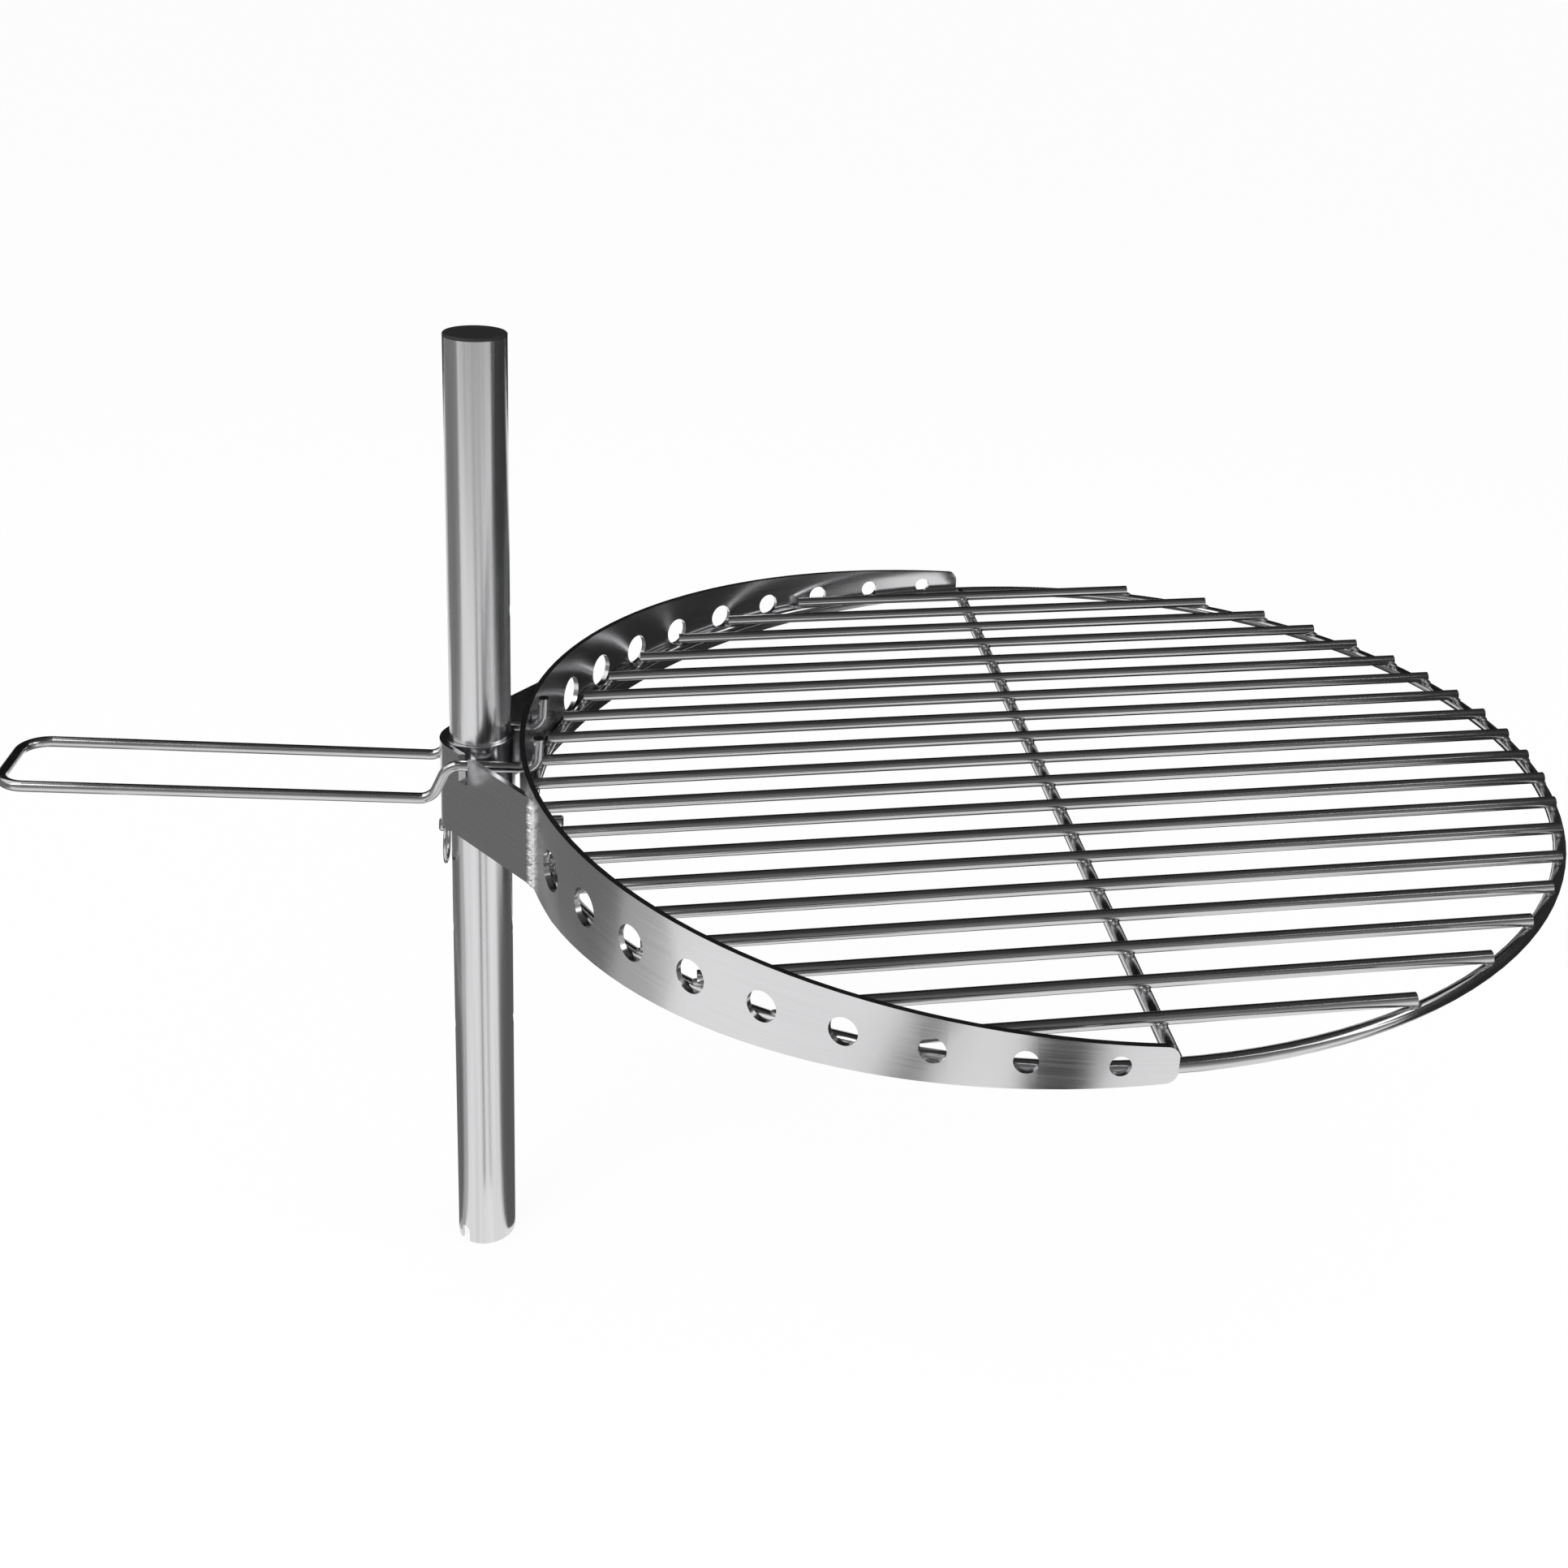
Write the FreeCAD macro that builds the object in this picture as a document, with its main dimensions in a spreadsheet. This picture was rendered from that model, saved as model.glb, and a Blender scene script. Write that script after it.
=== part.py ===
import FreeCAD, Part
import math
import os
from FreeCAD import Placement, Rotation, Vector

# Swinging grill for a fire pit: a round grate in a punched band, carried by a folded bracket that
# slides and turns on an upright tube. Millimetres, +Z up. The origin is on the tube's axis at its
# foot, +X points from the tube to the middle of the grate, and -Y is the front.

doc = FreeCAD.newDocument("fire_pit_grill")

# Driving dimensions: alias, value, meaning
SIZES = (
    ("post_diameter", 33.7, "outer diameter of the upright tube"),
    ("post_wall", 2.0, "wall of the upright tube"),
    ("post_length", 563.0, "length of the upright tube"),
    ("socket_diameter", 30.5, "diameter of the sized socket in the foot"),
    ("socket_depth", 60.0, "depth of the sized socket in the foot"),
    ("lowest_hole", 147.0, "height of the lowest height hole above the foot"),
    ("hole_pitch", 65.0, "step between height holes"),
    ("hole_count", 5, "number of height holes"),
    ("pin_hole", 2, "height hole that holds the stop pin, counted from the lowest as 0"),
    ("foot_hole_diameter", 3.2, "screw hole near the foot"),
    ("foot_hole_height", 7.0, "height of the screw hole"),
    ("key_width", 6.5, "width of the key slot in the foot"),
    ("key_height", 10.0, "height of the key slot in the foot"),
    ("key_bearing", 225.0, "bearing of the key slot from +X"),
    ("cap_flange", 1.6, "thickness of the end cap's rim"),
    ("cap_edge", 0.5, "chamfer round the end cap's top"),
    ("cap_spigot", 14.0, "depth of the end cap in the tube"),
    ("press_clearance", 0.1, "clearance of pressed-in pieces"),
    ("running_clearance", 0.3, "clearance of pieces that move on each other"),
    ("pin_diameter", 8.0, "diameter of the stop pin"),
    ("pin_hole_play", 0.5, "how much wider the height holes are than the pin"),
    ("pin_back", 23.5, "reach of the pin on the ring's side of the tube's axis"),
    ("pin_front", 46.0, "reach of the pin on the grate's side of the tube's axis"),
    ("pin_chamfer", 1.0, "chamfer of the pin's ends"),
    ("ring_diameter", 25.0, "outer diameter of the pull ring"),
    ("ring_wire", 2.2, "wire of the pull ring"),
    ("ring_play", 1.4, "how much wider the pin's cross hole is than the wire"),
    ("ring_inset", 4.0, "cross hole from the end of the pin"),
    ("collar_wall", 1.85, "wall of the guide collar"),
    ("collar_rise", 1.2, "guide collar above the bracket"),
    ("plate", 3.0, "sheet thickness of the bracket and the band"),
    ("bracket_height", 51.0, "height of the folded bracket"),
    ("arm_angle", 53.0, "angle of the bracket's arms from +X"),
    ("bars_above_seat", 19.0, "plane of the bars above the bracket's lower edge, at the tube's axis"),
    ("notch_drop", 8.0, "depth of the bracket's notches below the handle's legs"),
    ("weld_radius", 4.0, "radius of the two weld beads"),
    ("weld_proud", 1.2, "centre of a weld bead outside the seam"),
    ("grate_diameter", 600.0, "outer diameter of the grate's rim"),
    ("grate_rise", 2.5, "rise of the grate away from the tube, in degrees, which droop under load takes up"),
    ("rim_wire", 7.0, "rod of the rim"),
    ("cross_wire", 7.5, "rod under the middle of the bars"),
    ("bar_wire", 6.5, "rod of the bars"),
    ("bar_count", 19, "number of bars, evenly across the grate"),
    ("band_gap", 22.0, "tube's axis to the outside of the band"),
    ("rim_gap", 0.05, "band to the rim"),
    ("band_top_root", 37.5, "top of the band above the bars' level at the bracket"),
    ("band_low_root", 22.5, "bottom of the band below the bars' level at the bracket"),
    ("band_top_tip", 7.0, "top of the band above the risen bars at its ends"),
    ("band_low_tip", 11.0, "bottom of the band below the risen bars at its ends"),
    ("band_end_gap", 1.5, "ends of the band before the middle of the grate, along X"),
    ("band_end_corner", 6.0, "corner radius of the band's ends"),
    ("relief_flat", 12.0, "length of the raised lower edge between the arms, along X"),
    ("relief_slope", 22.0, "length of the shoulder after it, along X"),
    ("band_holes", 9, "punched holes in each half of the band"),
    ("first_hole_angle", 21.7, "bearing of the first punched hole from -X"),
    ("hole_step_angle", 7.88, "step between punched holes"),
    ("largest_hole", 22.0, "diameter of the punched hole nearest the bracket"),
    ("smallest_hole", 10.0, "diameter of the punched hole nearest the band's end"),
    ("handle_wire", 6.0, "rod of the handle"),
    ("handle_spread", 54.8, "distance between the handle's legs"),
    ("handle_reach", 272.5, "length of the handle from the band to its end"),
    ("handle_slope", 2.9, "rise of the handle away from the tube, in degrees"),
    ("handle_level", 25.0, "height of the handle's slots above the bars"),
    ("handle_corner", 14.0, "bend radius at the handle's end"),
    ("step_start", 40.0, "start of the handle's step from the band"),
    ("step_run", 8.0, "length of the handle's step"),
    ("step_drop", 20.5, "drop of the handle's step"),
    ("step_bend", 9.5, "bend radius of the handle's step"),
    ("hook_reach", 8.0, "hook of a leg behind the middle of the band"),
    ("hook_height", 18.0, "height of a hook"),
    ("hook_bend", 7.0, "bend radius of a hook"),
    ("slot_play", 0.7, "play of a leg to each side in its slot"),
    ("slot_height", 13.0, "height of a slot in the band"),
)

sheet = doc.addObject("Spreadsheet::Sheet", "Sizes")
for row, (alias, value, meaning) in enumerate(SIZES, start=1):
    sheet.set(f"A{row}", meaning)
    sheet.set(f"B{row}", str(value))
    sheet.setAlias(f"B{row}", alias)
doc.recompute()
size = {alias: float(sheet.get(alias)) for alias, value, meaning in SIZES}

# Places that several pieces share, worked out from the driving dimensions
post_radius = size["post_diameter"] / 2
pin_radius = size["pin_diameter"] / 2
pin_level = size["lowest_hole"] + size["pin_hole"] * size["hole_pitch"]
seat_level = pin_level + pin_radius + size["running_clearance"]
bars_level = seat_level + size["bars_above_seat"]
collar_outer = post_radius + size["running_clearance"] + size["collar_wall"]
nose_inner = collar_outer + size["running_clearance"]
nose_outer = nose_inner + size["plate"]
bar_radius = size["bar_wire"] / 2
rim_radius = size["rim_wire"] / 2
rim_centre_radius = size["grate_diameter"] / 2 - rim_radius
band_inner = size["grate_diameter"] / 2 + size["rim_gap"]
band_outer = band_inner + size["plate"]
grate_centre = size["band_gap"] + band_outer
band_apex = size["band_gap"]
band_end = grate_centre - size["band_end_gap"]
bar_pitch = size["grate_diameter"] / (size["bar_count"] + 1)
rise = math.radians(size["grate_rise"])
end_rise = band_end * math.tan(rise)
bars_over_rim = bar_radius + rim_radius
rim_level = bars_level + grate_centre * math.tan(rise) - bars_over_rim / math.cos(rise)
leg_offset = size["handle_spread"] / 2
leg_root = grate_centre - math.sqrt((band_inner + size["plate"] / 2) ** 2 - leg_offset**2)

X_AXIS = Vector(1, 0, 0)
Y_AXIS = Vector(0, 1, 0)
Z_AXIS = Vector(0, 0, 1)
LEVEL = Rotation()
ALONG_X = Rotation(Z_AXIS, X_AXIS)
ALONG_Y = Rotation(Z_AXIS, Y_AXIS)
RISING = Rotation(Y_AXIS, -size["grate_rise"])

# The same places as expressions of the sheet, for the sizes that are bound to it
COLLAR_OUTER = "(Sizes.post_diameter / 2 + Sizes.running_clearance + Sizes.collar_wall)"
NOSE_INNER = f"({COLLAR_OUTER} + Sizes.running_clearance)"
BAND_INNER = "(Sizes.grate_diameter / 2 + Sizes.rim_gap)"
RIM_CENTRE = "(Sizes.grate_diameter / 2 - Sizes.rim_wire / 2)"
END_RISE = "((Sizes.band_gap + Sizes.grate_diameter / 2 + Sizes.rim_gap + Sizes.plate - Sizes.band_end_gap)" \
           " * tan(Sizes.grate_rise * 1 deg))"
BAR_PITCH = "(Sizes.grate_diameter / (Sizes.bar_count + 1))"
LEG_SLOT = "Sizes.handle_wire + 2 * Sizes.slot_play"
ARM_STOCK = "Sizes.grate_diameter / 4"
NOTCH_STOCK = f"3 * {NOSE_INNER}"
PUNCH_STROKE = "3 * Sizes.plate"
SLOT_STROKE = "4 * Sizes.plate"
DRILL_STROKE = "2 * Sizes.post_diameter"
OVER = size["plate"]


def bound(kind, name, place, **sizes):
    """A primitive of the document with its sizes bound to the sheet, at a placement."""
    piece = doc.addObject(f"Part::{kind}", name)
    piece.Placement = place
    for prop, formula in sizes.items():
        piece.setExpression(prop, formula)
    return piece


def at(x=0.0, y=0.0, z=0.0, turn=LEVEL):
    """A placement at a point, turned."""
    return Placement(Vector(x, y, z), turn)


def fused(name, pieces):
    """One solid of several."""
    whole = doc.addObject("Part::MultiFuse", name)
    whole.Shapes = pieces
    whole.Refine = True
    return whole


def cut(name, base, tool):
    """A base with a tool taken away."""
    rest = doc.addObject("Part::Cut", name)
    rest.Base = base
    rest.Tool = tool
    return rest


def common(name, base, tool):
    """What a base and a tool share."""
    shared = doc.addObject("Part::Common", name)
    shared.Base = base
    shared.Tool = tool
    return shared


def tube(name, place, outer, inner, height):
    """A round tube."""
    skin = bound("Cylinder", f"{name}_outside", place, Radius=outer, Height=height)
    bore = bound("Cylinder", f"{name}_bore", place, Radius=inner, Height=height)
    return cut(name, skin, bore)


def rounded_path(points, radii):
    """A wire of straight runs joined by tangent arcs, one radius for each inner point."""
    edges = []
    start = points[0]
    for before, corner, after, radius in zip(points, points[1:], points[2:], radii):
        back = (before - corner).normalize()
        ahead = (after - corner).normalize()
        half_turn = (math.pi - back.getAngle(ahead)) / 2
        reach = radius * math.tan(half_turn)
        inward = (back + ahead).normalize()
        entry = corner + back * reach
        leave = corner + ahead * reach
        crown = corner + inward * (radius / math.cos(half_turn) - radius)
        edges.append(Part.LineSegment(start, entry).toShape())
        edges.append(Part.Arc(entry, crown, leave).toShape())
        start = leave
    edges.append(Part.LineSegment(start, points[-1]).toShape())
    return Part.Wire(edges)


def post_tube():
    """The upright: a tube with height holes right through, and a socket, screw hole and key slot in its foot."""
    blank = tube("post_blank", at(), "Sizes.post_diameter / 2", "Sizes.post_diameter / 2 - Sizes.post_wall",
                 "Sizes.post_length")
    cuts = []
    for index in range(int(size["hole_count"])):
        level = size["lowest_hole"] + index * size["hole_pitch"]
        cuts.append(bound("Cylinder", f"height_hole_{index + 1}", at(-size["post_diameter"], 0, level, ALONG_X),
                          Radius="(Sizes.pin_diameter + Sizes.pin_hole_play) / 2",
                          Height=DRILL_STROKE))
    cuts.append(bound("Cylinder", "foot_socket", at(), Radius="Sizes.socket_diameter / 2",
                      Height="Sizes.socket_depth"))
    cuts.append(bound("Cylinder", "foot_hole", at(0, 0, size["foot_hole_height"], ALONG_X),
                      Radius="Sizes.foot_hole_diameter / 2", Height="Sizes.post_diameter"))
    bearing = Rotation(Z_AXIS, size["key_bearing"])
    side = bearing.multVec(Vector(0, -size["key_width"] / 2, 0))
    cuts.append(bound("Box", "key_sides", at(side.x, side.y, 0, bearing), Length="Sizes.post_diameter",
                      Width="Sizes.key_width", Height="Sizes.key_height - Sizes.key_width / 2"))
    crown = size["key_height"] - size["key_width"] / 2
    cuts.append(bound("Cylinder", "key_crown", at(0, 0, crown, bearing.multiply(ALONG_X)),
                      Radius="Sizes.key_width / 2", Height="Sizes.post_diameter"))
    return cut("post_tube", blank, fused("post_cuts", cuts))


def end_cap():
    """The plug in the top of the tube, with a chamfered rim as wide as the tube."""
    top = size["post_length"]
    spigot = bound("Cylinder", "cap_spigot_body", at(0, 0, top - size["cap_spigot"]),
                   Radius="Sizes.post_diameter / 2 - Sizes.post_wall - Sizes.press_clearance",
                   Height="Sizes.cap_spigot")
    flange = bound("Cylinder", "cap_flange_body", at(0, 0, top), Radius="Sizes.post_diameter / 2",
                   Height="Sizes.cap_flange - Sizes.cap_edge")
    edge = bound("Cone", "cap_edge_body", at(0, 0, top + size["cap_flange"] - size["cap_edge"]),
                 Radius1="Sizes.post_diameter / 2", Radius2="Sizes.post_diameter / 2 - Sizes.cap_edge",
                 Height="Sizes.cap_edge")
    return fused("end_cap", [spigot, flange, edge])


def stop_pin():
    """The round pin that the carriage rests on, with a cross hole for its ring."""
    chamfer = size["pin_chamfer"]
    shank = bound("Cylinder", "pin_shank", at(chamfer - size["pin_back"], 0, pin_level, ALONG_X),
                  Radius="Sizes.pin_diameter / 2",
                  Height="Sizes.pin_back + Sizes.pin_front - 2 * Sizes.pin_chamfer")
    ends = []
    for name, x, turn in (("pin_back_end", chamfer - size["pin_back"], Rotation(Z_AXIS, -X_AXIS)),
                          ("pin_front_end", size["pin_front"] - chamfer, ALONG_X)):
        ends.append(bound("Cone", name, at(x, 0, pin_level, turn), Radius1="Sizes.pin_diameter / 2",
                          Radius2="Sizes.pin_diameter / 2 - Sizes.pin_chamfer", Height="Sizes.pin_chamfer"))
    hole = bound("Cylinder", "pin_cross_hole",
                 at(size["ring_inset"] - size["pin_back"], -size["pin_diameter"], pin_level, ALONG_Y),
                 Radius="(Sizes.ring_wire + Sizes.ring_play) / 2", Height="2 * Sizes.pin_diameter")
    return cut("stop_pin", fused("pin_body", [shank] + ends), hole)


def pull_ring():
    """The wire ring that hangs in the pin's cross hole, lifted to share out its bow in the hole."""
    centre_radius = (size["ring_diameter"] - size["ring_wire"]) / 2
    bow = centre_radius - math.sqrt(centre_radius**2 - pin_radius**2)
    return bound("Torus", "pull_ring",
                 at(size["ring_inset"] - size["pin_back"], 0, pin_level + bow / 2 - centre_radius, ALONG_X),
                 Radius1="(Sizes.ring_diameter - Sizes.ring_wire) / 2", Radius2="Sizes.ring_wire / 2")


def guide_collar():
    """The sleeve that slides on the upright and carries the bracket."""
    return tube("guide_collar", at(0, 0, seat_level), COLLAR_OUTER,
                "Sizes.post_diameter / 2 + Sizes.running_clearance", "Sizes.bracket_height + Sizes.collar_rise")


def bracket():
    """A strip folded round the collar, with two straight arms that end on the band."""
    wrap = 180 - 2 * size["arm_angle"]
    nose_place = at(0, 0, seat_level, Rotation(Z_AXIS, 180 - wrap / 2))
    nose = tube("bracket_nose", nose_place, f"{NOSE_INNER} + Sizes.plate", NOSE_INNER, "Sizes.bracket_height")
    for piece in (nose.Base, nose.Tool):
        piece.setExpression("Angle", "180 - 2 * Sizes.arm_angle")
    arms = []
    for name, sign, near in (("front_arm", -1, nose_outer), ("back_arm", 1, nose_inner)):
        turn = Rotation(Z_AXIS, sign * size["arm_angle"])
        foot = turn.multVec(Vector(0, sign * near, seat_level))
        arms.append(bound("Box", name, Placement(foot, turn), Length=ARM_STOCK,
                          Width="Sizes.plate", Height="Sizes.bracket_height"))
    inside = bound("Cylinder", "band_space", at(grate_centre, 0, seat_level),
                   Radius=f"{BAND_INNER} + Sizes.plate", Height="Sizes.bracket_height")
    trimmed = cut("bracket_blank", fused("bracket_strip", [nose] + arms), inside)
    floor = handle_point(leg_root, 0).z - size["handle_wire"] / 2 - size["notch_drop"]
    notches = []
    for name, y in (("front_notch", -leg_offset), ("back_notch", leg_offset)):
        side = y - size["handle_wire"] / 2 - size["slot_play"]
        notches.append(bound("Box", name, at(-2 * nose_outer, side, floor), Length=NOTCH_STOCK,
                             Width=LEG_SLOT, Height="Sizes.bracket_height"))
    return cut("bracket", trimmed, fused("bracket_notches", notches))


def band_edges(x):
    """Heights of the band's lower and upper edge at a distance along X."""
    share = (x - band_apex) / (band_end - band_apex)
    low = -size["band_low_root"] + share * (end_rise - size["band_low_tip"] + size["band_low_root"])
    top = size["band_top_root"] + share * (end_rise + size["band_top_tip"] - size["band_top_root"])
    return bars_level + low, bars_level + top


def across(x, z=0.0):
    """Placement of a wedge whose own Y runs along X of the part, with its own Z up."""
    return at(x, 0, z, Rotation(Z_AXIS, -90))


def band_outline():
    """The band's side view, drawn out across the part: straight tapering edges and ends with round corners."""
    reach = f"({BAND_INNER} + 2 * Sizes.plate)"
    taper = bound("Wedge", "band_taper", across(band_apex, bars_level), Xmin=f"-{reach}", Xmax=reach,
                  X2min=f"-{reach}", X2max=reach, Ymin="0",
                  Ymax=f"{BAND_INNER} + Sizes.plate - Sizes.band_end_gap",
                  Zmin="-Sizes.band_low_root", Zmax="Sizes.band_top_root",
                  Z2min=f"{END_RISE} - Sizes.band_low_tip", Z2max=f"{END_RISE} + Sizes.band_top_tip")
    corner = size["band_end_corner"]
    low, top = band_edges(band_end - corner)
    tip = "(Sizes.band_low_tip + Sizes.band_top_tip)"
    root = "(Sizes.band_low_root + Sizes.band_top_root)"
    height = (f"({tip} + ({root} - {tip}) * Sizes.band_end_corner"
              f" / ({BAND_INNER} + Sizes.plate - Sizes.band_end_gap))")
    square = bound("Box", "band_end_square", at(band_end - corner, -band_outer - OVER, low - corner),
                   Length="2 * Sizes.band_end_corner", Width=f"2 * {reach}",
                   Height=f"{height} + 2 * Sizes.band_end_corner")
    rounds = []
    for name, level in (("band_low_round", low + corner), ("band_top_round", top - corner)):
        rounds.append(bound("Cylinder", name, at(band_end - corner, -band_outer - OVER, level, ALONG_Y),
                            Radius="Sizes.band_end_corner", Height=f"2 * {reach}"))
    middle = bound("Box", "band_end_middle", at(band_end - corner, -band_outer - OVER, low + corner),
                   Length="Sizes.band_end_corner", Width=f"2 * {reach}",
                   Height=f"{height} - 2 * Sizes.band_end_corner")
    return fused("band_outline", [cut("band_taper_short", taper, square), middle] + rounds)


def band_relief():
    """The raised lower edge between the arms and its two shoulders, clear of the pin at any bearing."""
    reach = f"({BAND_INNER} + 2 * Sizes.plate)"
    depth = "(Sizes.band_low_root + Sizes.plate)"
    flat = bound("Wedge", "relief_flat_cut", across(band_apex, bars_level), Xmin=f"-{reach}", Xmax=reach,
                 X2min=f"-{reach}", X2max=reach, Ymin="-Sizes.plate", Ymax="Sizes.relief_flat",
                 Zmin=f"-{depth}", Zmax="-Sizes.bars_above_seat",
                 Z2min=f"-{depth}", Z2max="-Sizes.bars_above_seat")
    slope = bound("Wedge", "relief_slope_cut", across(band_apex + size["relief_flat"], bars_level),
                  Xmin=f"-{reach}", Xmax=reach, X2min=f"-{reach}", X2max=reach, Ymin="0",
                  Ymax="Sizes.relief_slope", Zmin=f"-{depth}", Zmax="-Sizes.bars_above_seat",
                  Z2min=f"-{depth}", Z2max="-Sizes.band_low_root")
    return fused("band_relief", [flat, slope])


def band_punches():
    """The punched holes of both halves, smaller towards the ends, and the slots for the handle."""
    punches = []
    count = int(size["band_holes"])
    shrink = "(Sizes.largest_hole - Sizes.smallest_hole) / (Sizes.band_holes - 1)"
    for side, sign in (("front", -1), ("back", 1)):
        for index in range(count):
            bearing = math.radians(size["first_hole_angle"] + index * size["hole_step_angle"])
            outward = Vector(-math.cos(bearing), sign * math.sin(bearing), 0)
            low, top = band_edges(grate_centre + band_outer * outward.x)
            middle = Vector(grate_centre, 0, (low + top) / 2) + outward * (band_inner - OVER)
            hole = bound("Cylinder", f"{side}_punch_{index + 1}",
                         Placement(middle, Rotation(Z_AXIS, outward)), Height=PUNCH_STROKE,
                         Radius=f"(Sizes.largest_hole - {index} * {shrink}) / 2")
            punches.append(hole)
        slot_side = sign * leg_offset - size["handle_wire"] / 2 - size["slot_play"]
        slot_foot = bars_level + size["handle_level"] - size["slot_height"] / 2
        punches.append(bound("Box", f"{side}_slot", at(band_apex - OVER, slot_side, slot_foot),
                             Length=SLOT_STROKE, Width=LEG_SLOT, Height="Sizes.slot_height"))
    return fused("band_punches", punches)


def band():
    """The half round band that holds the grate: tapered, punched and raised over the pin."""
    low, top = band_edges(band_apex)
    ring = tube("band_ring", at(grate_centre, 0, low), f"{BAND_INNER} + Sizes.plate", BAND_INNER,
                "Sizes.band_low_root + Sizes.band_top_root")
    shaped = common("band_shaped", ring, band_outline())
    relieved = cut("band_relieved", shaped, band_relief())
    return cut("band", relieved, band_punches())


def weld_bead(name, sign, arm_piece, band_piece):
    """The bead along the seam of an arm and the band."""
    turn = math.radians(size["arm_angle"])
    run = grate_centre * math.cos(turn) - math.sqrt(
        band_outer**2 - (grate_centre * math.sin(turn) + nose_outer) ** 2)
    normal = Vector(-math.sin(turn), sign * math.cos(turn), 0)
    seam = normal * nose_outer + Vector(math.cos(turn), sign * math.sin(turn), 0) * run
    outward = (seam - Vector(grate_centre, 0, 0)).normalize()
    middle = seam + (normal + outward).normalize() * size["weld_proud"]
    rod = bound("Cylinder", f"{name}_rod", at(middle.x, middle.y, seat_level), Radius="Sizes.weld_radius",
                Height="Sizes.bracket_height")
    return cut(name, cut(f"{name}_outside", rod, arm_piece), band_piece)


def on_grate(x, y, up, turn=LEVEL):
    """A placement on the rising grate: along, across and above the middle of its rim, turned."""
    return Placement(Vector(grate_centre, 0, rim_level) + RISING.multVec(Vector(x, y, up)), RISING.multiply(turn))


def grate_rim():
    """The round rod that the bars lie on."""
    return bound("Torus", "grate_rim", on_grate(0, 0, 0), Radius1=RIM_CENTRE, Radius2="Sizes.rim_wire / 2")


def cross_rod(rim):
    """The rod under the middle of the bars, coped to the rim at both ends."""
    up = rim_radius - size["cross_wire"] / 2
    start = rim_radius / 2 - rim_centre_radius
    rod = bound("Cylinder", "cross_rod_blank", on_grate(0, start, up, ALONG_Y),
                Radius="Sizes.cross_wire / 2", Height=f"2 * {RIM_CENTRE} - Sizes.rim_wire / 2")
    return cut("cross_rod", rod, rim)


def grate_bar(index):
    """One bar away from the tube, ending over the middle of the rim's rod."""
    steps = index - (size["bar_count"] - 1) / 2
    half = math.sqrt(rim_centre_radius**2 - (steps * bar_pitch)**2)
    chord = f"sqrt({RIM_CENTRE}^2 - ({abs(steps)} * {BAR_PITCH})^2)"
    return bound("Cylinder", f"grate_bar_{index + 1:02d}", on_grate(-half, steps * bar_pitch, bars_over_rim, ALONG_X),
                 Radius="Sizes.bar_wire / 2", Height=f"2 * {chord}")


def handle_point(out, up, y=0.0):
    """A point of the handle: along its slope from the band's middle, square to it, and across."""
    slope = math.radians(size["handle_slope"])
    along = Vector(-math.cos(slope), 0, math.sin(slope))
    square = Vector(math.sin(slope), 0, math.cos(slope))
    return Vector(leg_root, y, bars_level + size["handle_level"]) + along * out + square * up


def handle():
    """One rod bent into a long loop: two legs with a step at the bracket and a hook behind the band."""
    leg = (
        (-size["hook_reach"], size["hook_height"]),
        (-size["hook_reach"], 0.0),
        (size["step_start"], 0.0),
        (size["step_start"] + size["step_run"], -size["step_drop"]),
        (size["handle_reach"], -size["step_drop"]),
    )
    bends = [size["hook_bend"], size["step_bend"], size["step_bend"], size["handle_corner"]]
    points = [handle_point(out, up, -leg_offset) for out, up in leg]
    points += [handle_point(out, up, leg_offset) for out, up in reversed(leg)]
    path = rounded_path(points, bends + bends[::-1])
    start = path.Edges[0].Vertexes[0].Point
    section = Part.Wire(Part.makeCircle(size["handle_wire"] / 2, start, points[1] - points[0]))
    piece = doc.addObject("Part::Feature", "handle")
    piece.Shape = path.makePipeShell([section], True, False)
    piece.Placement = Placement()
    return piece


rim_piece = grate_rim()
bracket_piece = bracket()
band_piece = band()
nodes = [post_tube(), end_cap(), stop_pin(), pull_ring(), guide_collar(), bracket_piece, band_piece]
nodes.append(weld_bead("front_weld", -1, bracket_piece, band_piece))
nodes.append(weld_bead("back_weld", 1, bracket_piece, band_piece))
nodes += [rim_piece, cross_rod(rim_piece), handle()]
nodes += [grate_bar(index) for index in range(int(size["bar_count"]))]

doc.recompute()
for piece in doc.Objects:
    faults = {"Invalid", "Error"} & set(piece.State)
    if faults:
        raise RuntimeError(f"{piece.Label}: {sorted(faults)}")

os.makedirs("parts", exist_ok=True)
for node in nodes:
    if node.Shape.isNull() or not node.Shape.isValid():
        raise RuntimeError(f"{node.Label}: no valid shape")
for node in nodes:
    node.Shape.exportStep(os.path.join("parts", f"{node.Label}.step"))
    print(f"{node.Label}: {len(node.Shape.Solids)} solid, {node.Shape.Volume:.1f} mm3")
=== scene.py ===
"""Looks of the fire pit grill: finishes, weld details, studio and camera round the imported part."""
import logging
import math
from dataclasses import dataclass, field
from enum import Enum
from typing import Iterable, Sequence

import bmesh
import bpy
from mathutils import Matrix, Vector


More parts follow.
